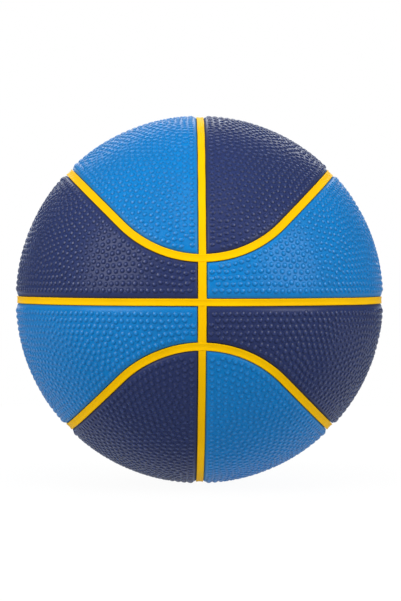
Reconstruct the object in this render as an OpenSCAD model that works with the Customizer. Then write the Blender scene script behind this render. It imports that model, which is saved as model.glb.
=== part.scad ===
// Mini basketball: eight pebbled rubber panels and nine seam strips on a wound carcass,
// with a bladder and a needle valve. Millimetres, +Z up, origin at the centre of the ball.
// The front crossing of the seams points along -Y and the valve along +Y.

/* [Ball] */
// Diameter over the pebble tops
ball_d = 130; // [120:0.5:180]
// Thickness of the rubber cover, from its floor to the pebble tops
cover_t = 1.6; // [1.2:0.1:3]
// Thickness of the rubber carcass under the cover
carcass_t = 0.8; // [0.5:0.1:2]
// Thickness of the wound thread layer under the carcass
winding_t = 0.5; // [0.3:0.1:1.5]
// Thickness of the bladder wall
bladder_t = 0.8; // [0.5:0.1:2]
// Cement line between two bonded faces
bond = 0.1; // [0.06:0.01:0.2]

/* [Seams] */
// Width of the seam strips
strip_w = 2.4; // [1.6:0.1:4]
// Depth of the strips' tops below the pebble tops
strip_drop = 0.55; // [0.2:0.05:0.9]
// Width of the smooth land between a strip and the pebbles
land_w = 1.5; // [0.8:0.1:3]
// Depth of the land below the pebble tops
land_drop = 0.8; // [0.3:0.05:1]
// Height of a loop seam's lowest point over the level seam
loop_low = 14.6; // [12:0.1:20]
// Radius of a loop seam's turn, at the middle of its strip
loop_r = 38; // [30:0.5:45]

/* [Valve] */
// Diameter of the valve seat's neck
neck_d = 7.2; // [6.4:0.1:10]
// Depth of the neck's face below the pebble tops
neck_drop = 0.5; // [0.2:0.05:1]
// Length of the valve seat, from the neck's face to its inner end
seat_l = 14; // [13:0.5:25]
// Diameter of the flange inside the bladder
flange_d = 24; // [16:0.5:40]
// Thickness of the flange
flange_t = 0.8; // [0.5:0.1:2]
// Diameter of the smooth land around the valve
valve_land_d = 13; // [12:0.5:20]

/* [Valve plug] */
// Diameter of the plug's head
head_d = 5.4; // [4.8:0.1:5.6]
// Thickness of the plug's head
head_t = 1.4; // [0.8:0.1:2]
// Depth of the plug's head below the neck's face
head_drop = 0.2; // [0:0.05:0.5]
// Diameter of the plug's shank
shank_d = 4; // [3.4:0.1:4.4]
// Length of the plug, from its head to its tip
plug_l = 12; // [11:0.5:12.5]
// Length of the taper at the plug's tip
tip_l = 1.2; // [0.5:0.1:2]
// Diameter of the plug's tip
tip_d = 2.8; // [2.2:0.1:3.2]
// Running gap around the plug, on the radius
plug_gap = 0.05; // [0.02:0.01:0.1]
// Diameter of the hole for the inflating needle
needle_d = 2.1; // [1.6:0.1:2.4]
// Depth of the needle hole, from the head's face
needle_depth = 8; // [5:0.5:9]
// Diameter of the funnel at the mouth of the needle hole
funnel_d = 3.4; // [2.6:0.1:4.2]
// Depth of that funnel
funnel_depth = 0.7; // [0.3:0.1:1]

/* [Hidden] */
$fn = 96;

// Radii of the layers, from the outside in
ball_r = ball_d / 2;
strip_r = ball_r - strip_drop;
land_r = ball_r - land_drop;
cover_floor = ball_r - cover_t;
carcass_r = cover_floor - bond;
winding_r = carcass_r - carcass_t - bond;
bladder_r = winding_r - winding_t - bond;
bladder_inside = bladder_r - bladder_t;
flange_r = bladder_inside - bond;

// Half the strip, and the cuts beside it
half_strip = strip_w / 2;
panel_edge = half_strip + bond;
field_edge = half_strip + land_w;
loop_centre = loop_low + loop_r;

// Depth by which a loop's straight runs cut into its turn, so that the two cross cleanly
run_lap = 0.02;

// Places along the valve's axis
neck_face = ball_r - neck_drop;
seat_end = neck_face - seat_l;
head_face = neck_face - head_drop;
head_under = head_face - head_t;
plug_tip = head_face - plug_l;
neck_hole_d = neck_d + 2 * bond;

// Length that is sure to reach past the ball
reach = 2 * ball_d;

sky_blue = [0.16, 0.54, 0.82];
navy = [0.21, 0.25, 0.43];
yellow = [0.98, 0.79, 0.02];
thread_white = [0.86, 0.85, 0.80];
black_rubber = [0.12, 0.12, 0.13];

// A round hollow layer
module layer(outer, inner) {
    difference() {
        sphere(r = outer);
        sphere(r = inner);
    }
}

// A round rod on the valve's axis, between two distances from the centre
module valve_rod(d, from, to) {
    translate([0, from, 0])
        rotate([-90, 0, 0])
            cylinder(d = d, h = to - from);
}

// The space above the upper loop seam, drawn in by inset from the middle of its strip
module above_loop(inset) {
    r = loop_r - inset;
    run = (r - run_lap) / sqrt(2);
    rotate([90, 0, 0])
        linear_extrude(height = reach, center = true)
            translate([0, loop_centre]) {
                circle(r = r);
                polygon([
                    [-run, -run], [run, -run],
                    [run + reach, reach - run], [-run - reach, reach - run]
                ]);
            }
}

// The space to the right of the upright seam and, with up, above the level seam
module right_of(inset, up = false) {
    translate([inset, -reach / 2, up ? inset : -reach / 2])
        cube(reach);
}

// The space of one panel outside the loops, drawn in from the middle of its strips
module outer_space(inset) {
    intersection() {
        above_loop(inset);
        right_of(inset);
    }
}

// The space of one panel between the level seam and a loop
module inner_space(inset) {
    difference() {
        right_of(inset, up = true);
        above_loop(-inset);
    }
}

// A panel: the first child is its space up to the strips, the second its pebbled field
module cover_panel() {
    difference() {
        union() {
            intersection() {
                sphere(r = land_r);
                children(0);
            }
            difference() {
                intersection() {
                    sphere(r = ball_r);
                    children(1);
                }
                valve_rod(valve_land_d, 0, reach);
            }
        }
        sphere(r = cover_floor);
        valve_rod(neck_hole_d, 0, reach);
    }
}

module outer_panel() {
    cover_panel() {
        outer_space(panel_edge);
        outer_space(field_edge);
    }
}

module inner_panel() {
    cover_panel() {
        inner_space(panel_edge);
        inner_space(field_edge);
    }
}

module panel_top_right() {
    color(navy)
        outer_panel();
}

module panel_top_left() {
    color(sky_blue)
        mirror([1, 0, 0])
            outer_panel();
}

module panel_bottom_right() {
    color(sky_blue)
        mirror([0, 0, 1])
            outer_panel();
}

module panel_bottom_left() {
    color(navy)
        mirror([0, 0, 1])
            mirror([1, 0, 0])
                outer_panel();
}

module panel_upper_right() {
    color(sky_blue)
        inner_panel();
}

module panel_upper_left() {
    color(navy)
        mirror([1, 0, 0])
            inner_panel();
}

module panel_lower_right() {
    color(navy)
        mirror([0, 0, 1])
            inner_panel();
}

module panel_lower_left() {
    color(sky_blue)
        mirror([0, 0, 1])
            mirror([1, 0, 0])
                inner_panel();
}

// A strip: the children are the space that it fills, less the hole for the valve
module seam_strip() {
    color(yellow)
        difference() {
            intersection() {
                layer(strip_r, cover_floor);
                children();
            }
            valve_rod(neck_hole_d, 0, reach);
        }
}

// The upright slab that the upright strips are cut from
module upright_slab() {
    cube([strip_w, reach, reach], center = true);
}

module strip_equator() {
    seam_strip()
        cube([reach, reach, strip_w], center = true);
}

module strip_loop_upper() {
    seam_strip()
        difference() {
            above_loop(-half_strip);
            above_loop(half_strip);
        }
}

module strip_loop_lower() {
    mirror([0, 0, 1])
        strip_loop_upper();
}

// The long upright arc between the front and the back of a loop
module strip_crown() {
    seam_strip()
        intersection() {
            upright_slab();
            above_loop(panel_edge);
        }
}

module strip_keel() {
    mirror([0, 0, 1])
        strip_crown();
}

// The short upright strip between the level seam and the upper loop, on the front
module strip_front_upper() {
    seam_strip()
        difference() {
            translate([-half_strip, -reach, panel_edge])
                cube([strip_w, reach, reach]);
            above_loop(-panel_edge);
        }
}

module strip_front_lower() {
    mirror([0, 0, 1])
        strip_front_upper();
}

// Its twin behind, cut off by the valve's neck
module strip_back_upper() {
    seam_strip()
        difference() {
            translate([-half_strip, 0, panel_edge])
                cube([strip_w, reach, reach]);
            above_loop(-panel_edge);
        }
}

module strip_back_lower() {
    mirror([0, 0, 1])
        strip_back_upper();
}

// A layer under the cover, with the hole for the valve's neck
module inner_layer(outer, thickness) {
    difference() {
        layer(outer, outer - thickness);
        valve_rod(neck_hole_d, 0, reach);
    }
}

module carcass() {
    color(black_rubber)
        inner_layer(carcass_r, carcass_t);
}

module thread_winding() {
    color(thread_white)
        inner_layer(winding_r, winding_t);
}

module bladder() {
    color(black_rubber)
        inner_layer(bladder_r, bladder_t);
}

module valve_seat() {
    color(black_rubber)
        difference() {
            union() {
                intersection() {
                    layer(flange_r, flange_r - flange_t);
                    valve_rod(flange_d, 0, reach);
                }
                valve_rod(neck_d, seat_end, neck_face);
            }
            valve_rod(shank_d + 2 * plug_gap, 0, reach);
            valve_rod(head_d + 2 * plug_gap, head_under - plug_gap, reach);
        }
}

module valve_plug() {
    color(black_rubber)
        difference() {
            union() {
                valve_rod(head_d, head_under, head_face);
                valve_rod(shank_d, plug_tip + tip_l, head_under);
                translate([0, plug_tip, 0])
                    rotate([-90, 0, 0])
                        cylinder(d1 = tip_d, d2 = shank_d, h = tip_l);
            }
            valve_rod(needle_d, head_face - needle_depth, reach);
            translate([0, head_face - funnel_depth, 0])
                rotate([-90, 0, 0])
                    cylinder(d1 = needle_d, d2 = funnel_d, h = funnel_depth);
        }
}

panel_top_left();
panel_top_right();
panel_upper_left();
panel_upper_right();
panel_lower_left();
panel_lower_right();
panel_bottom_left();
panel_bottom_right();
strip_equator();
strip_loop_upper();
strip_loop_lower();
strip_crown();
strip_keel();
strip_front_upper();
strip_front_lower();
strip_back_upper();
strip_back_lower();
carcass();
thread_winding();
bladder();
valve_seat();
valve_plug();
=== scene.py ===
"""Looks of a mini basketball: pebbled rubber panels, raised seam strips and a needle valve.

Metres, +Z up, origin at the centre of the ball. The front crossing of the seams points along -Y and
the valve along +Y. Paths and panels are worked out for the upper right quarter and mirrored.
"""
import math

import bmesh
import bpy
import numpy as np
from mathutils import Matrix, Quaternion, Vector


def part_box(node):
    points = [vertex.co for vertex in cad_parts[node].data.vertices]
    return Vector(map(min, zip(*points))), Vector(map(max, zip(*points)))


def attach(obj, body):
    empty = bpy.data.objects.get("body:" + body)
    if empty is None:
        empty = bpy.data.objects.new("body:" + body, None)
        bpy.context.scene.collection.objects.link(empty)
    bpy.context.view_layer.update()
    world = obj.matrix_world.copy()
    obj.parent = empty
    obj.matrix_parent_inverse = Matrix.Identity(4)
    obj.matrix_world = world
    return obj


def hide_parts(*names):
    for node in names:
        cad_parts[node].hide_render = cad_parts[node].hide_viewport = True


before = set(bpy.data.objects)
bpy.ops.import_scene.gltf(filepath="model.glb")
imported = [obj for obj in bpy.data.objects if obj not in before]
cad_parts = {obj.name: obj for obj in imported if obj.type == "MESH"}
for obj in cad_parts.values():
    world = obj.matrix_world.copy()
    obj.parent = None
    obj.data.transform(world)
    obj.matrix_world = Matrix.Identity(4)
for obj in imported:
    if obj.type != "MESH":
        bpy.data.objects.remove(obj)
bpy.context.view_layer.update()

MM = 0.001


# Sizes read from the solids

def distances(node):
    """Distances of a solid's corners from the centre of the ball."""
    return [vertex.co.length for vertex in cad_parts[node].data.vertices]


BALL_R = max(distances("panel_top_right"))
FLOOR_R = min(distances("panel_top_right"))
STRIP_R = max(distances("strip_equator"))
STRIP_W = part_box("strip_equator")[1].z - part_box("strip_equator")[0].z
LOOP_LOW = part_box("strip_loop_upper")[0].z + STRIP_W / 2
SEAT_LOW, SEAT_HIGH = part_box("valve_seat")
PLUG_LOW, PLUG_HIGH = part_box("valve_plug")

# Seams and panel edges
LOOP_TURN = 38 * MM
LOOP_W = 2.66 * MM
CROWN_W = 2.46 * MM
SHORT_W = 2.78 * MM
GROOVE_GAP = 0.18 * MM
LEVEL_EDGE = STRIP_W / 2 + GROOVE_GAP
LOOP_EDGE = LOOP_W / 2 + GROOVE_GAP
CROWN_EDGE = CROWN_W / 2 + GROOVE_GAP
SHORT_EDGE = SHORT_W / 2 + GROOVE_GAP
JOINT_LAP = 0.22 * MM
LAND_DROP = 0.62 * MM
LAND_CURVE = 2.2
WELD = 0.002 * MM
STRIP_ROUND = 0.22 * MM
STRIP_HOLLOW = 0.16 * MM
STRIP_WOBBLE = 0.03 * MM
NECK_HOLE_R = 3.7 * MM
VALVE_LAND_R = 6.5 * MM

# Pebbles: their spacing, how far they stray from their rows near the level seam and away from it, and shape
PEBBLE_PITCH = 2.3 * MM
PEBBLE_ROW = 2.18 * MM
STAGGER = 0.25
NEAR_SCATTER = 0.3 * MM
FAR_SCATTER = 0.95 * MM
SCATTER_REACH = 13 * MM
ROW_SCATTER = 0.1 * MM
PEBBLE_R = 1.02 * MM
PEBBLE_H = 0.39 * MM
PEBBLE_ROOT = 0.12 * MM
PEBBLE_SIDES = 8
PEBBLE_SMALLEST, PEBBLE_LARGEST = 0.88, 1.08
PEBBLE_SEED = 40
SKIN_R = BALL_R - PEBBLE_H

# Number of points along a seam before it is cut to length
FINE = 4000


# Directions on the ball

def unit(vectors):
    """Vectors drawn out to length one."""
    return vectors / np.linalg.norm(vectors, axis=-1, keepdims=True)


def level_seam():
    """Right half of the level seam, from the front to the back."""
    turn = np.linspace(0, np.pi, FINE)
    return np.stack([np.sin(turn), -np.cos(turn), 0 * turn], axis=1)


def upright_seam():
    """Upper half of the upright seam, from the front to the back."""
    turn = np.linspace(0, np.pi, FINE)
    return np.stack([0 * turn, -np.cos(turn), np.sin(turn)], axis=1)


def on_ball(x, y_sign, z):
    """Directions of points on the strips' radius, given their place in the front view."""
    y = y_sign * np.sqrt(STRIP_R**2 - x**2 - z**2)
    return np.stack([x, y, z], axis=1) / STRIP_R


def loop_seam():
    """Right half of the upper loop seam, from the front to the back: a turn, a straight run, a turn."""
    bend = np.linspace(0, np.pi / 4, FINE // 2)
    x = LOOP_TURN * np.sin(bend)
    z = LOOP_LOW + LOOP_TURN * (1 - np.cos(bend))
    front_turn = on_ball(x, -1, z)
    off_centre = (z[-1] - x[-1]) / math.sqrt(2)
    run_r = math.sqrt(STRIP_R**2 - off_centre**2)
    run_start = math.asin((x[-1] + z[-1]) / math.sqrt(2) / run_r)
    sweep = np.linspace(run_start, np.pi - run_start, FINE)[1:-1]
    along = run_r * np.sin(sweep)
    run = np.stack([along - off_centre, -math.sqrt(2) * run_r * np.cos(sweep), along + off_centre], axis=1)
    back_turn = front_turn[::-1] * (1, -1, 1)
    return np.concatenate([front_turn, run / math.sqrt(2) / STRIP_R, back_turn])


def beside(path, offset):
    """The path moved sideways over the ball, to the left of its way when seen from outside."""
    left = unit(np.cross(path, np.gradient(path, axis=0)))
    return unit(path * math.cos(offset / STRIP_R) + left * math.sin(offset / STRIP_R))


def path_length(path):
    """Length of a path on the strips' radius."""
    return STRIP_R * np.linalg.norm(np.diff(path, axis=0), axis=1).sum()


def stations(path, shares):
    """Points of a path at the given shares of its length."""
    run = np.concatenate([[0], np.cumsum(np.linalg.norm(np.diff(path, axis=0), axis=1))])
    columns = [np.interp(shares, run / run[-1], path[:, k]) for k in range(3)]
    return unit(np.stack(columns, axis=1))


# Least values of a reach and of a share, so that nothing is divided by nought
LEAST_REACH = 0.1 * MM
LEAST_SHARE = 0.1


# Distances over the ball, in metres, from the edges of the seams' grooves

def level_gap(points):
    return STRIP_R * np.arcsin(np.clip(np.abs(points[..., 2]), 0, 1)) - LEVEL_EDGE


def loop_side(points):
    """Signed distance over the ball from the middle of the loop seam, positive towards the pole."""
    x = np.abs(points[..., 0]) * STRIP_R
    z = np.abs(points[..., 2]) * STRIP_R - LOOP_LOW - LOOP_TURN
    reach = np.maximum(np.hypot(x, z), LEAST_REACH)
    turned = x < -z
    flat = np.where(turned, LOOP_TURN - reach, (z - x) / math.sqrt(2) + LOOP_TURN)
    way_x = np.where(turned, -x / reach, -math.sqrt(0.5))
    way_z = np.where(turned, -z / reach, math.sqrt(0.5))
    lean = way_x * np.abs(points[..., 0]) + way_z * np.abs(points[..., 2])
    return flat / np.sqrt(np.maximum(1 - lean**2, LEAST_SHARE))


def loop_gap(points):
    return np.abs(loop_side(points)) - LOOP_EDGE


def crown_gap(points):
    """Distance from the long upright strips, for points outside the loops."""
    reach = STRIP_R * np.arcsin(np.clip(np.abs(points[..., 0]), 0, 1))
    return np.where(loop_side(points) > 0, reach, BALL_R) - CROWN_EDGE


def short_gap(points):
    """Distance from the short upright strips, for points between the loops."""
    reach = STRIP_R * np.arcsin(np.clip(np.abs(points[..., 0]), 0, 1))
    return np.where(loop_side(points) > 0, BALL_R, reach) - SHORT_EDGE


def valve_gap(points):
    """Distance from the hole for the valve's neck."""
    reach = STRIP_R * np.arcsin(np.clip(np.hypot(points[..., 0], points[..., 2]), 0, 1))
    return np.where(points[..., 1] > 0, reach, BALL_R) - NECK_HOLE_R


# Beside each groove: its distance, the width of the bare land and how far off the first pebbles stand
EDGES = (
    (level_gap, 2.0 * MM, 2.5 * MM),
    (crown_gap, 1.5 * MM, 1.95 * MM),
    (short_gap, 0.9 * MM, 1.35 * MM),
    (loop_gap, 1.4 * MM, 1.8 * MM),
    (valve_gap, 2.0 * MM, VALVE_LAND_R - NECK_HOLE_R))
FIRST_ROW = {gap: row for gap, _, row in EDGES}


def skin_radius(points):
    """Radius of the smooth skin under the pebbles, which rounds down towards the grooves."""
    level = np.ones(points.shape[:-1])
    for gap, land, _ in EDGES:
        near = np.clip(gap(points) / land, 0, 1)
        level = level * (1 - (1 - near) ** LAND_CURVE)
    return SKIN_R - LAND_DROP * (1 - level)


# Panels

EDGE_STEPS = np.array([0, 0.12, 0.3, 0.55, 0.85, 1.2, 1.6, 2.1]) * MM


def graded(length, count):
    """Shares of a length, with close steps near both ends and even ones between."""
    ends = EDGE_STEPS * min(1, length / (4 * EDGE_STEPS[-1]))
    middle = np.linspace(ends[-1], length - ends[-1], count)
    return np.concatenate([ends[:-1], middle, (length - ends[:-1])[::-1]]) / length


def arc_between(start, end, count):
    """Points on the great circle between two directions."""
    angle = max(math.acos(np.clip(start @ end, -1, 1)), 1e-7)
    shares = graded(angle * STRIP_R, count)[:, None]
    return unit(np.sin((1 - shares) * angle) * start + np.sin(shares * angle) * end)


PANEL_COLUMNS = 112
PANEL_ROWS = 26


def panel_grid(low, high):
    """Directions of a panel's skin between its lower and upper edge."""
    low = stations(low, graded(path_length(low), PANEL_COLUMNS))
    high = stations(high, graded(path_length(high), PANEL_COLUMNS))
    return np.array([arc_between(a, b, PANEL_ROWS) for a, b in zip(low, high)])


def outer_grid():
    """Upper right panel between the loop seam and the upright seam."""
    low = beside(loop_seam(), LOOP_EDGE)
    low = low[crown_gap(low) >= 0]
    high = beside(upright_seam(), -CROWN_EDGE)
    high = high[loop_side(high) >= LOOP_EDGE]
    high[0] = low[0]
    high[-1] = low[-1]
    return panel_grid(low, high)


VALVE_BLEND = 14 * MM


def round_the_valve(top):
    """End of an inner panel: along the neck's hole, then up the upright seam to the given height."""
    start = math.asin(LEVEL_EDGE / NECK_HOLE_R)
    end = math.acos(SHORT_EDGE / NECK_HOLE_R)
    turn = np.linspace(start, end, FINE)
    rise = np.linspace(NECK_HOLE_R * math.sin(end), top, FINE)[1:]
    x = np.concatenate([NECK_HOLE_R * np.cos(turn), np.full(FINE - 1, SHORT_EDGE)])
    z = np.concatenate([NECK_HOLE_R * np.sin(turn), rise])
    return on_ball(x, 1, z)


def inner_grid():
    """Upper right panel between the level seam and the loop seam, cut round the valve at its back."""
    low = beside(level_seam(), LEVEL_EDGE)
    low = low[(short_gap(low) >= 0) & (valve_gap(low) >= 0)]
    high = beside(loop_seam(), -LOOP_EDGE)
    high = high[short_gap(high) >= 0]
    grid = panel_grid(low, high)
    end = round_the_valve(high[-1][2] * STRIP_R)
    end = stations(end, graded(path_length(end), PANEL_ROWS))
    from_end = STRIP_R * np.linalg.norm(grid[:, 0] - grid[-1, 0], axis=1)
    near = np.clip(1 - from_end / VALVE_BLEND, 0, 1)
    share = near * near * (3 - 2 * near)
    return unit(grid + share[:, None, None] * (end - grid[-1]))


def shell_mesh(name, grid, mirror):
    """Closed shell of a panel: its skin, its inner wall and the sides between them."""
    rows, columns = grid.shape[:2]
    skin = (grid * skin_radius(grid)[..., None]).reshape(-1, 3)
    wall = (grid * FLOOR_R).reshape(-1, 3)
    at = np.arange(rows * columns).reshape(rows, columns)
    quads = np.stack([at[:-1, :-1], at[1:, :-1], at[1:, 1:], at[:-1, 1:]], axis=-1).reshape(-1, 4)
    rim = np.concatenate([at[:-1, 0], at[-1, :-1], at[:0:-1, -1], at[0, :0:-1]])
    after = np.roll(rim, -1)
    under = rows * columns
    sides = np.stack([rim, rim + under, after + under, after], axis=1)
    faces = np.concatenate([quads, quads[:, ::-1] + under, sides])
    if mirror[0] * mirror[2] < 0:
        faces = faces[:, ::-1]
    mesh = bpy.data.meshes.new(name)
    mesh.from_pydata((np.concatenate([skin, wall]) * mirror).tolist(), [], faces.tolist())
    shaped = bmesh.new()
    shaped.from_mesh(mesh)
    bmesh.ops.remove_doubles(shaped, verts=shaped.verts, dist=WELD)
    shaped.to_mesh(mesh)
    shaped.free()
    return mesh


# Places of the pebbles

# Clear space between edge pebbles and beside them, their lap over the first line, and where a row is cut
ROW_CLEAR = 0.8 * PEBBLE_PITCH
EDGE_CLEAR = 0.55 * PEBBLE_PITCH
EDGE_LAP = 0.15 * PEBBLE_PITCH
ROW_SLACK = 0.02 * MM
RUN_BREAK = 0.02


def along_row(path, pitch, shift=0.0):
    """Points one pitch apart along a path."""
    count = max(int(round(path_length(path) / pitch)), 1)
    return stations(path, (np.arange(count) + 0.5 + shift) / count)


def field_gap(points):
    """Distance from the line on which the first pebbles stand."""
    return np.minimum.reduce([gap(points) - row for gap, _, row in EDGES])


def spaced(points, kept, least):
    """The points that stand clear of those already kept and of each other."""
    kept = list(kept)
    for point in points:
        if not kept or np.min(np.linalg.norm(np.array(kept) - point, axis=1)) * STRIP_R > least:
            kept.append(point)
    return kept


def edge_rows(outer):
    """The first pebbles, in rows beside the seams."""
    loop_inset = LOOP_EDGE + FIRST_ROW[loop_gap]
    if outer:
        paths = [beside(upright_seam(), -CROWN_EDGE - FIRST_ROW[crown_gap]), beside(loop_seam(), loop_inset)]
    else:
        paths = [beside(level_seam(), LEVEL_EDGE + FIRST_ROW[level_gap]),
                 beside(upright_seam(), -SHORT_EDGE - FIRST_ROW[short_gap]), beside(loop_seam(), -loop_inset)]
    kept = []
    for path in paths:
        side = loop_side(path) > 0
        path = path[(field_gap(path) > -ROW_SLACK) & (side == outer)]
        steps = np.linalg.norm(np.diff(path, axis=0), axis=1)
        runs = np.split(path, np.nonzero(steps > RUN_BREAK)[0] + 1)
        for run in runs:
            if len(run) > 2:
                kept = spaced(along_row(run, PEBBLE_PITCH), kept, ROW_CLEAR)
    return np.array(kept)


def inner_rows(outer, rng):
    """Staggered rows of pebbles over the rest of a panel, before they settle; looser off the level seam."""
    axis = 0 if outer else 2
    other = 2 - axis
    rows = []
    for k in range(1, int(BALL_R * np.pi / 2 / PEBBLE_ROW)):
        lift = (LEVEL_EDGE + FIRST_ROW[level_gap] + k * PEBBLE_ROW) / STRIP_R
        turn = np.linspace(0, np.pi, FINE)
        row = np.zeros((FINE, 3))
        row[:, axis] = math.sin(lift)
        row[:, other] = math.cos(lift) * np.sin(turn)
        row[:, 1] = -math.cos(lift) * np.cos(turn)
        if math.cos(lift) * np.pi * STRIP_R > PEBBLE_PITCH:
            rows.append(along_row(row, PEBBLE_PITCH, STAGGER if k % 2 else -STAGGER))
    points = np.concatenate(rows)
    points = points[(loop_side(points) > 0) == outer]
    points = points[field_gap(points) > EDGE_CLEAR]
    away = np.clip(level_gap(points) / SCATTER_REACH, 0, 1)[:, None]
    scatter = NEAR_SCATTER + (FAR_SCATTER - NEAR_SCATTER) * away
    return unit(points + rng.normal(0, 1 / STRIP_R, points.shape) * scatter)


SETTLE_STEPS = 40
SETTLE_PUSH = 0.3
SETTLE_REACH = 1.15 * PEBBLE_PITCH


def settle(fixed, free):
    """Pushes crowded pebbles apart, with the edge rows held in place."""
    points = np.concatenate([fixed, free])
    held = len(fixed)
    reach = SETTLE_REACH / STRIP_R
    for _ in range(SETTLE_STEPS):
        first, second = np.nonzero(points @ points.T > math.cos(reach))
        apart = first != second
        first, second = first[apart], second[apart]
        away = points[first] - points[second]
        length = np.linalg.norm(away, axis=1, keepdims=True)
        push = np.zeros_like(points)
        np.add.at(push, first, away / length * (reach - length) * SETTLE_PUSH)
        push[:held] = 0
        points = unit(points + push)
    return points[field_gap(points) > -EDGE_LAP]


def pebble_places(outer, seed):
    """Directions of a panel's pebbles."""
    rng = np.random.default_rng(seed)
    rows = edge_rows(outer)
    rows = unit(rows + rng.normal(0, ROW_SCATTER / STRIP_R, rows.shape))
    return settle(rows, inner_rows(outer, rng))


# Node trees

class Wire:
    """A node's output that can stand in a Python sum; each operator adds a Math node."""

    def __init__(self, tree, socket):
        self.tree = tree
        self.socket = socket

    def math(self, operation, first, second=0.0):
        return self.tree.add("ShaderNodeMath", {"operation": operation}, {0: first, 1: second})

    def __add__(self, other):
        return self.math("ADD", self, other)

    def __radd__(self, other):
        return self.math("ADD", other, self)

    def __sub__(self, other):
        return self.math("SUBTRACT", self, other)

    def __rsub__(self, other):
        return self.math("SUBTRACT", other, self)

    def __mul__(self, other):
        return self.math("MULTIPLY", self, other)

    def __rmul__(self, other):
        return self.math("MULTIPLY", other, self)

    def __truediv__(self, other):
        return self.math("DIVIDE", self, other)

    def between(self, low, high):
        """The value from low to high as a share from 0 to 1, eased at both ends."""
        values = {"Value": self, "From Min": low, "From Max": high}
        return self.tree.add("ShaderNodeMapRange", {"interpolation_type": "SMOOTHSTEP"}, values)


class Tree:
    """A node tree that is filled by its one method for adding nodes."""

    def __init__(self, tree):
        self.tree = tree
        tree.nodes.clear()

    def add(self, kind, settings=None, sockets=None, out=0):
        """Adds a node, sets its settings, then its sockets' values or links, and returns an output."""
        node = self.tree.nodes.new(kind)
        for name, value in (settings or {}).items():
            setattr(node, name, value)
        for key, value in (sockets or {}).items():
            if isinstance(value, Wire):
                self.tree.links.new(value.socket, node.inputs[key])
            else:
                node.inputs[key].default_value = value
        if not node.outputs:
            return None
        return Wire(self, node.outputs[out])


# Materials

def linear(red, green, blue):
    """A colour given from 0 to 255, as shaders take it."""
    parts = [part / 255 for part in (red, green, blue)]
    return tuple(p / 12.92 if p <= 0.04045 else ((p + 0.055) / 1.055) ** 2.4 for p in parts) + (1.0,)


def tinted(colour, share):
    """A colour made lighter or darker by a share."""
    return tuple(min(part * share, 1.0) for part in colour[:3]) + (1.0,)


def grey(level):
    """A plain grey as shaders take it."""
    return (level, level, level, 1.0)


def new_material(name):
    material = bpy.data.materials.new(name)
    material.use_nodes = True
    return material, Tree(material.node_tree)


def noise(tree, where, scale, detail=2.0):
    return tree.add("ShaderNodeTexNoise", {}, {"Vector": where, "Scale": scale, "Detail": detail})


def mix_colour(tree, share, first, second):
    """A colour between two others."""
    return tree.add("ShaderNodeMix", {"data_type": "RGBA"}, {0: share, 6: first, 7: second}, out=2)


def close_material(tree, sockets):
    """Ends a material in one Principled shader."""
    shader = tree.add("ShaderNodeBsdfPrincipled", {}, sockets)
    tree.add("ShaderNodeOutputMaterial", {}, {"Surface": shader})


def ball_place(tree):
    """Places on the ball and their distance from its centre."""
    where = tree.add("ShaderNodeTexCoord", {}, {}, out="Object")
    radius = tree.add("ShaderNodeVectorMath", {"operation": "LENGTH"}, {0: where}, out="Value")
    return where, radius


GRAIN_HEIGHT = 0.05 * MM


def fine_grain(tree, where, scale, strength):
    """The fine grain of moulded rubber."""
    grain = noise(tree, where, scale, 3.0)
    return tree.add("ShaderNodeBump", {}, {"Strength": strength, "Distance": GRAIN_HEIGHT, "Height": grain})


# Patterns of each rubber, as noise scales
COVER_BLOTCHES, COVER_SPECKS, COVER_GRAIN = 38.0, 420.0, 2200.0
STRIP_BLOTCHES, STRIP_SPECKS, STRIP_GRAIN = 60.0, 700.0, 1500.0
INSIDE_BLOOM, INSIDE_GRAIN = 90.0, 1800.0

# Spans of noise that blotches and specks are cut from, and the tints they give
BLOTCH_SPAN, SPECK_SPAN = (0.35, 0.65), (0.3, 0.7)
COVER_DARK, COVER_PALE, COVER_SPECK = 0.94, 1.05, 0.9
STRIP_DARK, STRIP_PALE = 0.96, 1.03

# Where the painted shade on a pebble's sloping sides, its polish and the painted highlight on its crown begin
# or end, as shares of its height
SHADED_FLANK_FOOT, SHADED_FLANK_HEAD = (0.0, 0.12), (0.5, 0.75)
POLISH_FOOT = (0.3, 0.6)
HIGHLIGHT_TOP_FOOT = (0.66, 0.93)

# Depths over which the land takes its painted shade and grows rougher, strength of the polish, and colour of
# the bloom seen aslant
LAND_DEPTHS = (SKIN_R - 0.7 * LAND_DROP, SKIN_R - 0.1 * LAND_DROP)
POLISH = 0.9
BLOOM = (0.2, 0.45, 1.0, 1.0)


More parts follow.
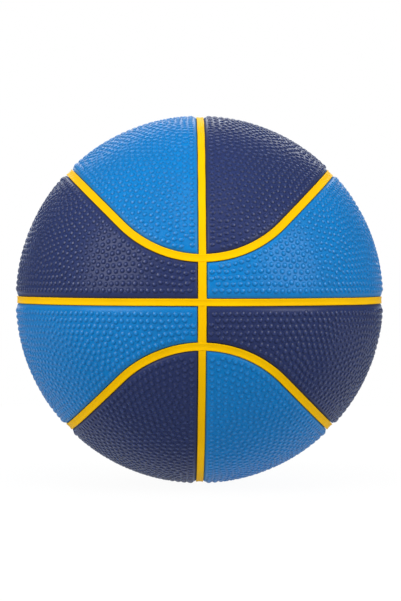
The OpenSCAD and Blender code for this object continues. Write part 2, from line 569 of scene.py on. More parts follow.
def cover_rubber(name, colour, shine, land, flank_shade, top_highlight):
    """Moulded cover rubber: soft blotches, painted shade on the pebbles' sloping sides and on the sunken land
    by the grooves, a painted highlight on their crowns, a polished coat and a bluish bloom.
    """
    material, tree = new_material(name)
    where, radius = ball_place(tree)
    blotches = noise(tree, where, COVER_BLOTCHES, 3.0).between(*BLOTCH_SPAN)
    specks = noise(tree, where, COVER_SPECKS).between(*SPECK_SPAN)
    height = (radius - SKIN_R) / PEBBLE_H
    # Painted shade on each pebble's sloping sides and a painted highlight on its crown, in place of the light
    # falling on them
    shaded_flank = height.between(*SHADED_FLANK_FOOT) * (1 - height.between(*SHADED_FLANK_HEAD))
    top = height.between(*HIGHLIGHT_TOP_FOOT)
    polish = POLISH * height.between(*POLISH_FOOT)
    # Painted shade on the land where it sinks towards the grooves; the same mask makes that land rougher
    land_shade_and_matte = 1 - radius.between(*LAND_DEPTHS)
    base = mix_colour(tree, blotches, tinted(colour, COVER_DARK), tinted(colour, COVER_PALE))
    base = mix_colour(tree, specks * 0.35, base, tinted(colour, COVER_SPECK))
    # Painted shade on the sunken land and the pebbles' sides, then the painted highlight on their crowns
    base = mix_colour(tree, land_shade_and_matte, base, tinted(colour, land))
    base = mix_colour(tree, shaded_flank, base, tinted(colour, flank_shade))
    base = mix_colour(tree, top, base, tinted(colour, top_highlight))
    roughness = 0.24 + 0.08 * specks + 0.35 * land_shade_and_matte
    bump = fine_grain(tree, where, COVER_GRAIN, strength=0.12)
    close_material(tree, {"Base Color": base, "Roughness": roughness, "Normal": bump,
                          "Specular IOR Level": shine, "Coat Weight": polish, "Coat Roughness": 0.2,
                          "Sheen Weight": 0.55, "Sheen Roughness": 0.25, "Sheen Tint": BLOOM})
    return material


# Colour of the strips' bare sides, near black as painted shade for the shadow in the grooves, how far down
# the paint ends, and its gloss
SIDE_SHADE_COLOUR = linear(16, 18, 30)
PAINT_EDGE = (STRIP_R - 0.4 * MM, STRIP_R - 0.28 * MM)
PAINT_GLOSS = 0.03


def strip_rubber(name, colour):
    """Smooth seam rubber, painted on its top and bare on its sides, whose near-black colour is partly painted
    shade for the grooves' shadow.
    """
    material, tree = new_material(name)
    where, radius = ball_place(tree)
    blotches = noise(tree, where, STRIP_BLOTCHES, 3.0).between(*BLOTCH_SPAN)
    specks = noise(tree, where, STRIP_SPECKS).between(*SPECK_SPAN)
    bare = 1 - radius.between(*PAINT_EDGE)
    base = mix_colour(tree, blotches, tinted(colour, STRIP_DARK), tinted(colour, STRIP_PALE))
    # Bare sides near black: the unpainted rubber, darkened as painted shade for the shadow line in the groove
    base = mix_colour(tree, bare, base, SIDE_SHADE_COLOUR)
    roughness = 0.36 + 0.1 * specks
    bump = fine_grain(tree, where, STRIP_GRAIN, strength=0.1)
    close_material(tree, {"Base Color": base, "Roughness": roughness, "Normal": bump,
                          "Specular IOR Level": PAINT_GLOSS})
    return material


DUST = linear(84, 82, 80)


def inside_rubber(name, colour, least_roughness):
    """Plain black rubber of the inner layers and the valve, with a dusty bloom."""
    material, tree = new_material(name)
    where = tree.add("ShaderNodeTexCoord", {}, {}, out="Object")
    bloom = noise(tree, where, INSIDE_BLOOM, 4.0).between(0.4, 0.75)
    base = mix_colour(tree, bloom * 0.5, colour, DUST)
    roughness = least_roughness + 0.15 * bloom
    bump = fine_grain(tree, where, INSIDE_GRAIN, strength=0.15)
    close_material(tree, {"Base Color": base, "Roughness": roughness, "Normal": bump})
    return material


# The winding's directions, as turns in radians, its fineness and depth, and its shaded and lit thread
THREAD_TURNS = ((0.6, 0.3, 0.0), (-0.9, 0.5, 0.8), (0.2, 1.2, -0.7))
THREAD_SCALE = 260.0
THREAD_DEPTH = 0.15 * MM
THREAD_SHADE, THREAD_LIGHT = linear(176, 170, 152), linear(228, 224, 212)


def wound_thread(name):
    """Nylon thread wound over the bladder in three crossing directions."""
    material, tree = new_material(name)
    where = tree.add("ShaderNodeTexCoord", {}, {}, out="Object")
    bands = {"wave_type": "BANDS", "bands_direction": "Z"}
    height = 0.0
    for turn in THREAD_TURNS:
        placed = tree.add("ShaderNodeMapping", {}, {"Vector": where, "Rotation": turn})
        values = {"Vector": placed, "Scale": THREAD_SCALE, "Distortion": 1.5}
        height = tree.add("ShaderNodeTexWave", bands, values) * 0.34 + height
    base = mix_colour(tree, height.between(0.2, 0.8), THREAD_SHADE, THREAD_LIGHT)
    bump = tree.add("ShaderNodeBump", {}, {"Strength": 0.6, "Distance": THREAD_DEPTH, "Height": height})
    close_material(tree, {"Base Color": base, "Roughness": 0.55, "Normal": bump})
    return material


SKY_BLUE = linear(0, 126, 201)
NAVY = linear(44, 56, 104)
YELLOW = linear(253, 196, 0)
BLACK = linear(34, 34, 36)
BLADDER_BLACK = linear(26, 26, 28)
PLUG_BLACK = linear(44, 44, 46)

# Each cover's land and side shares are painted shade, and its crown share a painted highlight
COVERS = {
    "sky_blue_rubber": cover_rubber("sky_blue_cover", SKY_BLUE, shine=0.33, land=0.95, flank_shade=0.82, top_highlight=1.2),
    "navy_rubber": cover_rubber("navy_cover", NAVY, shine=0.37, land=0.85, flank_shade=0.76, top_highlight=1.3)}
yellow_rubber = strip_rubber("yellow_strip", YELLOW)
carcass_rubber = inside_rubber("carcass_rubber", BLACK, least_roughness=0.6)
bladder_rubber = inside_rubber("bladder_rubber", BLADDER_BLACK, least_roughness=0.5)
seat_rubber = inside_rubber("valve_seat_rubber", BLACK, least_roughness=0.45)
plug_rubber = inside_rubber("valve_plug_rubber", PLUG_BLACK, least_roughness=0.4)
nylon_thread = wound_thread("nylon_thread")


# Geometry node trees

def new_tree(name, inputs):
    """An empty geometry tree with named inputs, and the wires that bring them in."""
    group = bpy.data.node_groups.new(name, "GeometryNodeTree")
    tree = Tree(group)
    for label, kind in inputs:
        group.interface.new_socket(label, in_out="INPUT", socket_type=kind)
    group.interface.new_socket("Geometry", in_out="OUTPUT", socket_type="NodeSocketGeometry")
    entry = group.nodes.new("NodeGroupInput")
    return tree, {label: Wire(tree, entry.outputs[label]) for label, _ in inputs}


def close_tree(tree, shape, material):
    """Ends a tree in plain faces of one material."""
    shape = tree.add("GeometryNodeRealizeInstances", {}, {"Geometry": shape})
    shape = tree.add("GeometryNodeSetShadeSmooth", {}, {"Geometry": shape})
    shape = tree.add("GeometryNodeSetMaterial", {}, {"Geometry": shape, "Material": material})
    tree.add("NodeGroupOutput", {}, {"Geometry": shape})
    return tree.tree


def pebble_tree():
    """Sets a pebble on every given place of a panel, turned out from the ball."""
    tree, given = new_tree("pebbled_panel", [
        ("Panel", "NodeSocketGeometry"), ("Places", "NodeSocketObject"), ("Pebble", "NodeSocketObject"),
        ("Smallest", "NodeSocketFloat"), ("Largest", "NodeSocketFloat"), ("Seed", "NodeSocketInt"),
        ("Material", "NodeSocketMaterial")])
    places = tree.add("GeometryNodeObjectInfo", {}, {"Object": given["Places"]}, out="Geometry")
    pebble = tree.add("GeometryNodeObjectInfo", {}, {"Object": given["Pebble"]}, out="Geometry")
    random = {"data_type": "FLOAT"}
    turns = {2: 0.0, 3: 2 * math.pi, "Seed": given["Seed"]}
    sizes = {2: given["Smallest"], 3: given["Largest"], "Seed": given["Seed"]}
    spin = tree.add("FunctionNodeRandomValue", random, turns, out=1)
    size = tree.add("FunctionNodeRandomValue", random, sizes, out=1)
    spread = tree.add("ShaderNodeCombineXYZ", {}, {"X": size, "Y": size, "Z": 1.0})
    turn = tree.add("ShaderNodeCombineXYZ", {}, {"Z": spin})
    turn = tree.add("FunctionNodeEulerToRotation", {}, {0: turn})
    outward = tree.add("GeometryNodeInputPosition")
    upright = tree.add("FunctionNodeAlignRotationToVector", {"axis": "Z"},
                       {"Rotation": turn, "Vector": outward})
    pebbles = tree.add("GeometryNodeInstanceOnPoints", {},
                       {"Points": places, "Instance": pebble, "Rotation": upright, "Scale": spread})
    both = tree.tree.nodes.new("GeometryNodeJoinGeometry")
    tree.tree.links.new(given["Panel"].socket, both.inputs[0])
    tree.tree.links.new(pebbles.socket, both.inputs[0])
    return close_tree(tree, Wire(tree, both.outputs[0]), given["Material"])


def strip_tree():
    """Sweeps a strip's section along a path, square to the ball."""
    tree, given = new_tree("seam_strip", [
        ("Path", "NodeSocketGeometry"), ("Section", "NodeSocketObject"), ("Material", "NodeSocketMaterial")])
    path = tree.add("GeometryNodeMeshToCurve", {}, {"Mesh": given["Path"]})
    outward = tree.add("GeometryNodeInputPosition")
    outward = tree.add("ShaderNodeVectorMath", {"operation": "NORMALIZE"}, {0: outward})
    path = tree.add("GeometryNodeSetCurveNormal", {"mode": "FREE"}, {"Curve": path, "Normal": outward})
    section = tree.add("GeometryNodeObjectInfo", {}, {"Object": given["Section"]}, out="Geometry")
    section = tree.add("GeometryNodeMeshToCurve", {}, {"Mesh": section})
    swept = tree.add("GeometryNodeCurveToMesh", {},
                     {"Curve": path, "Profile Curve": section, "Fill Caps": True})
    return close_tree(tree, swept, given["Material"])


def add_object(name, mesh):
    made = bpy.data.objects.new(name, mesh)
    bpy.context.scene.collection.objects.link(made)
    return made


def grow(made, group, values):
    """Runs a geometry tree on an object and leaves its result as the object's plain mesh."""
    modifier = made.modifiers.new(group.name, "NODES")
    modifier.node_group = group
    for item in group.interface.items_tree:
        if item.in_out == "INPUT" and item.name in values:
            modifier[item.identifier] = values[item.name]
    made.update_tag()
    ready = made.evaluated_get(bpy.context.evaluated_depsgraph_get())
    mesh = bpy.data.meshes.new_from_object(ready)
    made.modifiers.remove(modifier)
    made.data = mesh


SHARP = math.radians(55)


def finish_piece(made, body, node):
    """Gives a finished piece sharp edges by angle, hangs it on its body and hides the solid it stands in for.
    """
    made.data.set_sharp_from_angle(angle=SHARP)
    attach(made, body)
    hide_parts(node)


# Pebbled panels

def lathe_mesh(name, rings, sides, axis):
    """Round mesh from rings of (radius, height); a ring of no radius closes an end."""
    shaped = bmesh.new()
    loops = []
    for radius, height in rings:
        turns = [2 * math.pi * k / sides for k in range(sides)] if radius > 0 else [0.0]
        spots = [(radius * math.cos(t), radius * math.sin(t), height) for t in turns]
        if axis == "Y":
            spots = [(x, z, -y) for x, y, z in spots]
        loops.append([shaped.verts.new(spot) for spot in spots])
    for lower, upper in zip(loops, loops[1:] + loops[:1]):
        if len(lower) == 1 and len(upper) == 1:
            continue
        for k in range(sides):
            corners = [lower[k % len(lower)], lower[(k + 1) % len(lower)],
                       upper[(k + 1) % len(upper)], upper[k % len(upper)]]
            shaped.faces.new(list(dict.fromkeys(corners)))
    bmesh.ops.recalc_face_normals(shaped, faces=shaped.faces)
    mesh = bpy.data.meshes.new(name)
    shaped.to_mesh(mesh)
    shaped.free()
    return mesh


PEBBLE_RINGS = [
    (0, -PEBBLE_ROOT), (1.02 * PEBBLE_R, -PEBBLE_ROOT), (PEBBLE_R, 0), (0.82 * PEBBLE_R, 0.31 * PEBBLE_H),
    (0.6 * PEBBLE_R, 0.63 * PEBBLE_H), (0.36 * PEBBLE_R, 0.87 * PEBBLE_H), (0, PEBBLE_H)]

# Degrees from the level seam to a panel's middle, outside the loops or between them
PANEL_MIDDLE = {True: 66, False: 24}

# Each panel: name, whether it lies outside a loop, the side it is mirrored to, and its colour
PANELS = [
    ("panel_top_left", True, (-1, 1), "sky_blue_rubber"),
    ("panel_top_right", True, (1, 1), "navy_rubber"),
    ("panel_upper_left", False, (-1, 1), "navy_rubber"),
    ("panel_upper_right", False, (1, 1), "sky_blue_rubber"),
    ("panel_lower_left", False, (-1, -1), "sky_blue_rubber"),
    ("panel_lower_right", False, (1, -1), "navy_rubber"),
    ("panel_bottom_left", True, (-1, -1), "navy_rubber"),
    ("panel_bottom_right", True, (1, -1), "sky_blue_rubber")]


# Size and place of a panel's two halves in its map, and how much wider the outer side of its walls lies
SKIN_SIZE, SKIN_SPOT = (0.94, 0.94), (0.5, 0.70)
WALL_SIZE, WALL_SPOT = (0.90, 0.52), (0.5, 0.21)
WALL_SPREAD = 0.04
PARTING_R = (FLOOR_R + SKIN_R) / 2 - 0.05 * MM


def bake_map(made, centre):
    """Lays a panel's faces flat: its pebbled side in one half of the map, its wall and sides in the other."""
    mesh = made.data
    spots = np.zeros(len(mesh.vertices) * 3)
    mesh.vertices.foreach_get("co", spots)
    spots = spots.reshape(-1, 3)
    corner = np.zeros(len(mesh.loops), dtype=int)
    mesh.loops.foreach_get("vertex_index", corner)
    starts = np.zeros(len(mesh.polygons), dtype=int)
    mesh.polygons.foreach_get("loop_start", starts)
    sizes = np.zeros(len(mesh.polygons), dtype=int)
    mesh.polygons.foreach_get("loop_total", sizes)
    radius = np.linalg.norm(spots, axis=1)
    face_radius = np.add.reduceat(radius[corner], starts) / sizes
    outside = np.repeat(face_radius > PARTING_R, sizes)
    across = np.array((0.0, 1.0, 0.0))
    up = np.cross(centre, across)
    aim = spots / radius[:, None]
    angle = np.arccos(np.clip(aim @ centre, -1, 1))
    turn = np.arctan2(aim @ up, aim @ across)
    spread = 1 + WALL_SPREAD * (radius - FLOOR_R) / (BALL_R - FLOOR_R)
    flat = np.stack([angle * np.cos(turn), angle * np.sin(turn)], axis=1) / np.pi
    skin_uv = flat * SKIN_SIZE + SKIN_SPOT
    wall_uv = flat * spread[:, None] * WALL_SIZE + WALL_SPOT
    uv = np.where(outside[:, None], skin_uv[corner], wall_uv[corner])
    layer = mesh.uv_layers.new(name="OFBake")
    layer.data.foreach_set("uv", uv.ravel())


pebble_source = add_object("pebble_source", lathe_mesh("pebble_source", PEBBLE_RINGS, PEBBLE_SIDES, "Z"))
pebbled_panel = pebble_tree()
panel_grids = {True: outer_grid(), False: inner_grid()}

for number, (name, outer, sides, colour) in enumerate(PANELS):
    mirror = np.array((sides[0], 1, sides[1]))
    places = pebble_places(outer, PEBBLE_SEED + number)
    spots = places * skin_radius(places)[:, None] * mirror
    places_mesh = bpy.data.meshes.new("places_" + name)
    places_mesh.from_pydata(spots.tolist(), [], [])
    places_object = add_object("places_" + name, places_mesh)
    panel = add_object("skin_" + name, shell_mesh("skin_" + name, panel_grids[outer], mirror))
    grow(panel, pebbled_panel, {
        "Places": places_object, "Pebble": pebble_source, "Smallest": PEBBLE_SMALLEST,
        "Largest": PEBBLE_LARGEST, "Seed": number, "Material": COVERS[colour]})
    bpy.data.objects.remove(places_object)
    middle = math.radians(PANEL_MIDDLE[outer])
    bake_map(panel, np.array((math.cos(middle), 0.0, math.sin(middle))) * mirror)
    finish_piece(panel, "ball", name)

bpy.data.objects.remove(pebble_source)


# Seam strips

STRIP_STEP = 1.4 * MM
STRIP_SEED = 70
SWAY_WAVES = (3, 5, 8, 13)
SWAY = 0.5
SHOULDER_POINTS = 4
HOLLOW_POINTS = 8


def wobbled(path, seed):
    """A path with the slight waver of a strip laid by hand."""
    rng = np.random.default_rng(seed)
    turn = np.linspace(0, 2 * np.pi, len(path), endpoint=False)
    sway = np.zeros(len(path))
    for waves in SWAY_WAVES:
        sway += rng.normal(0, SWAY) * np.sin(waves * turn + rng.uniform(0, 2 * np.pi))
    left = unit(np.cross(path, np.gradient(path, axis=0)))
    return unit(path + left * (sway * STRIP_WOBBLE / STRIP_R)[:, None])


def strip_path(name, path, closed):
    """Chain of points along the middle of a strip, halfway through its thickness."""
    count = int(path_length(path) / STRIP_STEP)
    shares = np.arange(count) / count if closed else np.linspace(0, 1, count)
    spots = stations(path, shares) * (STRIP_R + FLOOR_R) / 2
    links = [(k, k + 1) for k in range(count - 1)]
    if closed:
        links.append((count - 1, 0))
    mesh = bpy.data.meshes.new(name)
    mesh.from_pydata(spots.tolist(), links, [])
    return mesh


def strip_section(name, width):
    """Section of a strip, outward along X: a square foot, rounded shoulders and a slightly hollow top."""
    half = width / 2
    top = (STRIP_R - FLOOR_R) / 2
    inset = half - STRIP_ROUND
    turns = np.linspace(0, np.pi / 2, SHOULDER_POINTS)
    shoulder = [(top - STRIP_ROUND * (1 - math.sin(t)), inset + STRIP_ROUND * math.cos(t)) for t in turns]
    across = np.linspace(inset, -inset, HOLLOW_POINTS)[1:-1]
    hollow = [(top - STRIP_HOLLOW * (1 - (y / inset) ** 2), y) for y in across]
    mirrored = [(x, -y) for x, y in reversed(shoulder)]
    spots = [(-top, half)] + shoulder + hollow + mirrored + [(-top, -half)]
    count = len(spots)
    mesh = bpy.data.meshes.new(name)
    mesh.from_pydata([(x, y, 0) for x, y in spots], [(k, (k + 1) % count) for k in range(count)], [])
    return mesh


def facing_out(mesh):
    """Turns a mesh's faces outward."""
    shaped = bmesh.new()
    shaped.from_mesh(mesh)
    bmesh.ops.recalc_face_normals(shaped, faces=shaped.faces)
    shaped.to_mesh(mesh)
    shaped.free()


def closed_loop():
    """The whole upper loop seam."""
    right = loop_seam()
    return np.concatenate([right, right[-2:0:-1] * (-1, 1, 1)])


def cut_ring():
    """The level seam from one side of the valve round the front to the other."""
    right = level_seam()
    right = right[valve_gap(right) >= 0]
    return np.concatenate([right[::-1] * (-1, 1, 1), right[1:]])


def upright_part(keep):
    """The stretch of the upright seam where the given distances leave room for a strip."""
    path = upright_seam()
    return path[keep(path)]


def crown_part(path):
    return loop_side(path) >= LOOP_W / 2 - JOINT_LAP


def below_loop(path):
    return loop_side(path) <= JOINT_LAP - LOOP_W / 2


def front_part(path):
    return (path[:, 1] < 0) & (level_gap(path) >= -GROOVE_GAP - JOINT_LAP) & below_loop(path)


def back_part(path):
    return (path[:, 1] > 0) & (valve_gap(path) >= 0) & below_loop(path)


UP = np.array((1, 1, 1))
DOWN = np.array((1, 1, -1))

# Each strip: name, its path, whether the path closes on itself, its half of the ball and its width
STRIPS = [
    ("strip_equator", cut_ring(), False, UP, STRIP_W),
    ("strip_loop_upper", closed_loop(), True, UP, LOOP_W),
    ("strip_loop_lower", closed_loop(), True, DOWN, LOOP_W),
    ("strip_crown", upright_part(crown_part), False, UP, CROWN_W),
    ("strip_keel", upright_part(crown_part), False, DOWN, CROWN_W),
    ("strip_front_upper", upright_part(front_part), False, UP, SHORT_W),
    ("strip_front_lower", upright_part(front_part), False, DOWN, SHORT_W),
    ("strip_back_upper", upright_part(back_part), False, UP, SHORT_W),
    ("strip_back_lower", upright_part(back_part), False, DOWN, SHORT_W)]

seam_strip = strip_tree()
for number, (name, path, closed, half, width) in enumerate(STRIPS):
    chain = strip_path("chain_" + name, wobbled(path, STRIP_SEED + number) * half, closed)
    section = add_object("section_" + name, strip_section("section_" + name, width))
    strip = add_object("band_" + name, chain)
    grow(strip, seam_strip, {"Section": section, "Material": yellow_rubber})
    bpy.data.objects.remove(section)
    facing_out(strip.data)
    finish_piece(strip, "ball", name)


# Valve

CURVE_POINTS = 5


def rounded(corners):
    """Outline of (radius, height) corners, each rounded by its own third value."""
    outline = []
    count = len(corners)
    for k, (radius, height, curve) in enumerate(corners):
        here = np.array((radius, height))
        if curve == 0:
            outline.append(here)
            continue
        back = np.array(corners[k - 1][:2]) - here
        on = np.array(corners[(k + 1) % count][:2]) - here
        back = back / np.linalg.norm(back)
        on = on / np.linalg.norm(on)
        half = math.acos(np.clip(back @ on, -1, 1)) / 2
        centre = here + (back + on) / np.linalg.norm(back + on) * curve / math.sin(half)
        start = here + back * curve / math.tan(half) - centre
        end = here + on * curve / math.tan(half) - centre
        for share in np.linspace(0, 1, CURVE_POINTS):
            spoke = (1 - share) * start + share * end
            outline.append(centre + spoke / np.linalg.norm(spoke) * curve)
    return [tuple(spot) for spot in outline]


LATHE_SIDES = 64
NECK_R = 3.6 * MM
FLANGE_R = SEAT_HIGH.x
FLANGE_TOP = 60.9 * MM
FLANGE_T = 0.8 * MM
FLANGE_RINGS = 7
PLUG_GAP = 0.05 * MM
HEAD_R = PLUG_HIGH.x
HEAD_T = 1.4 * MM
SHANK_R = 2.0 * MM
TIP_R = 1.4 * MM
TIP_L = 1.2 * MM
NEEDLE_R = 1.05 * MM
NEEDLE_DEPTH = 8 * MM
FUNNEL_R = 1.7 * MM
FUNNEL_DEPTH = 0.7 * MM


def sphere_height(sphere_r, radius):
    """Height of a point on a sphere at a distance from the valve's axis."""
    return math.sqrt(sphere_r**2 - radius**2)


def flange_side(sphere_r, radii):
    """Points of the flange's curved faces."""
    return [(radius, sphere_height(sphere_r, radius), 0) for radius in radii]


face = SEAT_HIGH.y
seat_end = SEAT_LOW.y
head_face = PLUG_HIGH.y
head_under = head_face - HEAD_T
flange_radii = np.linspace(NECK_R, FLANGE_R, FLANGE_RINGS)

seat_outline = rounded(
    [(NECK_R, seat_end, 0.4 * MM)]
    + flange_side(FLANGE_TOP - FLANGE_T, flange_radii)
    + flange_side(FLANGE_TOP, flange_radii[::-1])
    + [(NECK_R, face, 0.35 * MM), (HEAD_R + PLUG_GAP, face, 0.25 * MM),
       (HEAD_R + PLUG_GAP, head_under - PLUG_GAP, 0), (SHANK_R + PLUG_GAP, head_under - PLUG_GAP, 0),
       (SHANK_R + PLUG_GAP, seat_end, 0.3 * MM)])
seat = add_object("boot_valve_seat", lathe_mesh("boot_valve_seat", seat_outline, LATHE_SIDES, "Y"))
seat.data.materials.append(seat_rubber)
seat.data.shade_smooth()
finish_piece(seat, "ball", "valve_seat")

plug_outline = [(0, PLUG_LOW.y)] + rounded(
    [(TIP_R, PLUG_LOW.y, 0.3 * MM), (SHANK_R, PLUG_LOW.y + TIP_L, 0.3 * MM), (SHANK_R, head_under, 0),
     (HEAD_R, head_under, 0.2 * MM), (HEAD_R, head_face, 0.4 * MM), (FUNNEL_R, head_face, 0.15 * MM),
     (NEEDLE_R, head_face - FUNNEL_DEPTH, 0), (NEEDLE_R, head_face - NEEDLE_DEPTH, 0)])
plug_outline.append((0, head_face - NEEDLE_DEPTH))
plug = add_object("core_valve_plug", lathe_mesh("core_valve_plug", plug_outline, LATHE_SIDES, "Y"))
plug.data.materials.append(plug_rubber)
plug.data.shade_smooth()
finish_piece(plug, "valve_plug", "valve_plug")


# Layers under the cover, which keep their solids

LAYERS = {"carcass": carcass_rubber, "thread_winding": nylon_thread, "bladder": bladder_rubber}
for name, material in LAYERS.items():
    for material_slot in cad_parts[name].material_slots:
        material_slot.material = material


# Floor, light and camera

FLOOR_SIDES = 96
STAND_R = 0.45
floor_mesh = bpy.data.meshes.new("floor")
floor_turns = [2 * math.pi * k / FLOOR_SIDES for k in range(FLOOR_SIDES)]
floor_rim = [(STAND_R * math.cos(t), STAND_R * math.sin(t), -BALL_R) for t in floor_turns]
floor_mesh.from_pydata(floor_rim, [], [tuple(range(FLOOR_SIDES))])
floor = add_object("floor", floor_mesh)

# The paper's shadow, its tone, its white, and its glow under the ball with the reach of that glow
SHADOW_SHARE = 0.1
PAPER_TONE = 0.5
PAPER_WHITE = 1.06
FOOT_GLOW = 0.45
FOOT_REACH = (0.3 * BALL_R, 1.6 * BALL_R)


def seen_rays(tree):
    """One for rays from the camera or out of a gloss or a glass, and nought for the rest."""
    path = tree.tree.nodes.new("ShaderNodeLightPath")
    kinds = ("Is Camera Ray", "Is Glossy Ray", "Is Transmission Ray")
    rays = [Wire(tree, path.outputs[kind]) for kind in kinds]
    return rays[0].math("MAXIMUM", rays[0].math("MAXIMUM", rays[0], rays[1]), rays[2])


def floor_material():
    """White paper that keeps a faint shadow, and lights the ball's underside a little from close by."""
    material, tree = new_material("floor_paper")
    seen = seen_rays(tree)
    where = tree.add("ShaderNodeTexCoord", {}, {}, out="Object")
    ends = {0: where, 1: (0.0, 0.0, -BALL_R)}
    reach = tree.add("ShaderNodeVectorMath", {"operation": "DISTANCE"}, ends, out="Value")
    near = 1 - reach.between(*FOOT_REACH)
    paper = tree.add("ShaderNodeBsdfDiffuse", {}, {"Color": grey(PAPER_TONE)})
    glow = tree.add("ShaderNodeEmission", {}, {"Color": grey(1.0), "Strength": PAPER_WHITE})
    lift = mix_colour(tree, near * (1 - seen), grey(0.0), grey(FOOT_GLOW))
    foot = tree.add("ShaderNodeEmission", {}, {"Color": lift, "Strength": 1.0})
    paper = tree.add("ShaderNodeAddShader", {}, {0: paper, 1: foot})
    both = tree.add("ShaderNodeMixShader", {}, {0: seen * (1 - SHADOW_SHARE), 1: paper, 2: glow})
    tree.add("ShaderNodeOutputMaterial", {}, {"Surface": both})
    return material


floor.data.materials.append(floor_material())

# Strength of the surroundings as light on the ball
AMBIENT = 0.645


def light_world():
    """White surroundings: full white where they are seen, softer as light on the ball."""
    world = bpy.data.worlds.new("studio")
    world.use_nodes = True
    bpy.context.scene.world = world
    tree = Tree(world.node_tree)
    seen = seen_rays(tree)
    lit = tree.add("ShaderNodeBackground", {}, {"Color": grey(1.0), "Strength": AMBIENT})
    shown = tree.add("ShaderNodeBackground", {}, {"Color": grey(1.0), "Strength": 1.0})
    both = tree.add("ShaderNodeMixShader", {}, {0: seen, 1: lit, 2: shown})
    tree.add("ShaderNodeOutputWorld", {}, {"Surface": both})


def soft_box(name, place, size, power, mirrored):
    """A soft lamp that faces the ball, hidden from the camera, and shows in the ball's gloss or not."""
    lamp = bpy.data.lights.new(name, "AREA")
    lamp.shape = "RECTANGLE"
    lamp.size, lamp.size_y = size
    lamp.energy = power
    made = bpy.data.objects.new(name, lamp)
    made.location = place
    made.visible_camera = False
    made.visible_glossy = mirrored
    made.rotation_euler = (-Vector(place)).to_track_quat("-Z", "Y").to_euler()
    bpy.context.scene.collection.objects.link(made)


# Dim room round the set, seen in reflections alone: palest behind the ball, with a low door to the white
ROOM_R = 1.7
ROOM_STEP = 5
ROOM_FADE = (0.75 * ROOM_R, 0.98 * ROOM_R)
DOOR_HALF = 25
DOOR_LOW, DOOR_HIGH = 0, 15
ROOM_DIM, ROOM_PALE = 0.05, 0.6
GROUND_DIM, GROUND_PALE = 0.08, 0.42
GROUND_FADE = (-0.7 * BALL_R, -0.25 * BALL_R)
GROUND_IN, GROUND_OUT = 1 * MM, 1.1 * STAND_R
GROUND_Z = -BALL_R + 0.05 * MM


def reflection_card(name, corners, dim, pale, fade):
    """Four-cornered faces that only reflections show, dim up to one place along Y and pale past another."""
    faces = [tuple(range(k, k + 4)) for k in range(0, len(corners), 4)]
    mesh = bpy.data.meshes.new(name)
    mesh.from_pydata(corners, [], faces)
    material, tree = new_material(name)
    where = tree.add("ShaderNodeTexCoord", {}, {}, out="Object")
    back = tree.add("ShaderNodeSeparateXYZ", {}, {0: where}, out="Y")
    shade = mix_colour(tree, back.between(*fade), grey(dim), grey(pale))
    glow = tree.add("ShaderNodeEmission", {}, {"Color": shade, "Strength": 1.0})
    tree.add("ShaderNodeOutputMaterial", {}, {"Surface": glow})
    mesh.materials.append(material)
    card = add_object(name, mesh)
    card.visible_camera = False
    card.visible_diffuse = False
    card.visible_transmission = False
    card.visible_shadow = False


def room_spot(turn, rise):
    """A place on the room's wall, by degrees round from straight behind the ball and up."""
    turn, rise = math.radians(turn), math.radians(rise)
    level = ROOM_R * math.cos(rise)
    return (level * math.sin(turn), level * math.cos(turn), ROOM_R * math.sin(rise))


def ground_spot(radius, turn):
    """A place on the room's ground, by degrees round."""
    turn = math.radians(turn)
    return (radius * math.cos(turn), radius * math.sin(turn), GROUND_Z)


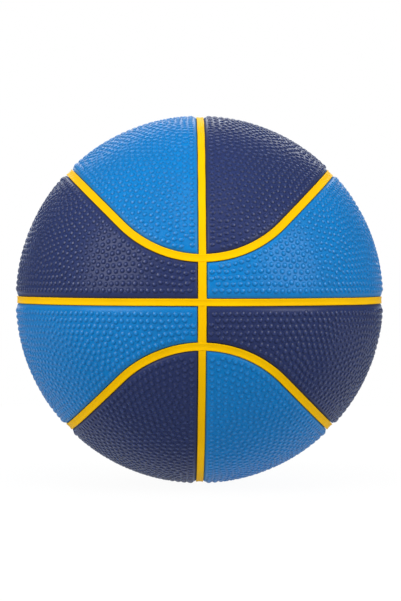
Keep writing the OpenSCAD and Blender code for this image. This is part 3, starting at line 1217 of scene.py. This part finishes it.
def dim_room():
    """Walls and ground of the room, which keep the ball from going milky."""
    walls, ground = [], []
    for turn in range(-180, 180, ROOM_STEP):
        after = turn + ROOM_STEP
        for rise in range(-90, 90, ROOM_STEP):
            top = rise + ROOM_STEP
            door = -DOOR_HALF <= turn < DOOR_HALF and DOOR_LOW <= rise < DOOR_HIGH
            if not door:
                walls += [room_spot(turn, rise), room_spot(turn, top)]
                walls += [room_spot(after, top), room_spot(after, rise)]
        ground += [ground_spot(GROUND_IN, turn), ground_spot(GROUND_OUT, turn)]
        ground += [ground_spot(GROUND_OUT, after), ground_spot(GROUND_IN, after)]
    reflection_card("room_walls", walls, ROOM_DIM, ROOM_PALE, ROOM_FADE)
    reflection_card("room_ground", ground, GROUND_DIM, GROUND_PALE, GROUND_FADE)


# Each lamp: name, place, width and height, power, and whether it shows in the ball's gloss
LAMPS = [
    ("lamp_left", (-0.961, -0.648, 0.468), (0.86, 0.86), 5.4, True),
    ("lamp_right", (0.983, -0.614, 0.468), (0.74, 0.74), 4.1, True),
    ("lamp_behind", (0.0, 0.95, 0.6), (1.0, 0.5), 2.4, True),
    ("lamp_low_behind", (0.0, 1.25, 0.15), (1.0, 0.22), 1.2, True),
    ("lamp_above", (0.0, -0.55, 0.95), (0.7, 0.55), 4.0, False)]

light_world()
dim_room()
for lamp in LAMPS:
    soft_box(*lamp)

# The ball's place in the photograph's frame, in pixels, and the direction it is seen from
FRAME_W, FRAME_H = 401, 601
BALL_PX = (199.42, 299.4)
BALL_PX_R = 183.95
AZIMUTH = math.radians(-0.86)
ELEVATION = math.radians(0.9)
ROLL = math.radians(0.08)
DISTANCE = 13 * BALL_R
SENSOR = 36.0

lens_px = BALL_PX_R * math.sqrt(DISTANCE**2 - BALL_R**2) / BALL_R
camera = bpy.data.cameras.new("camera")
camera.sensor_fit = "VERTICAL"
camera.sensor_height = SENSOR
camera.lens = lens_px * SENSOR / FRAME_H
camera.shift_x = (FRAME_W / 2 - BALL_PX[0]) / FRAME_H
camera.shift_y = (BALL_PX[1] - FRAME_H / 2) / FRAME_H
camera.clip_start = 0.05
camera_object = bpy.data.objects.new("camera", camera)
toward = Vector((math.sin(AZIMUTH) * math.cos(ELEVATION), -math.cos(AZIMUTH) * math.cos(ELEVATION),
                 math.sin(ELEVATION)))
camera_object.location = toward * DISTANCE
aim = (-toward).to_track_quat("-Z", "Y")
lean = Quaternion((0, 0, 1), ROLL)
camera_object.rotation_euler = (aim @ lean).to_euler()
bpy.context.scene.collection.objects.link(camera_object)
bpy.context.scene.camera = camera_object
bpy.context.scene.view_settings.view_transform = "Standard"
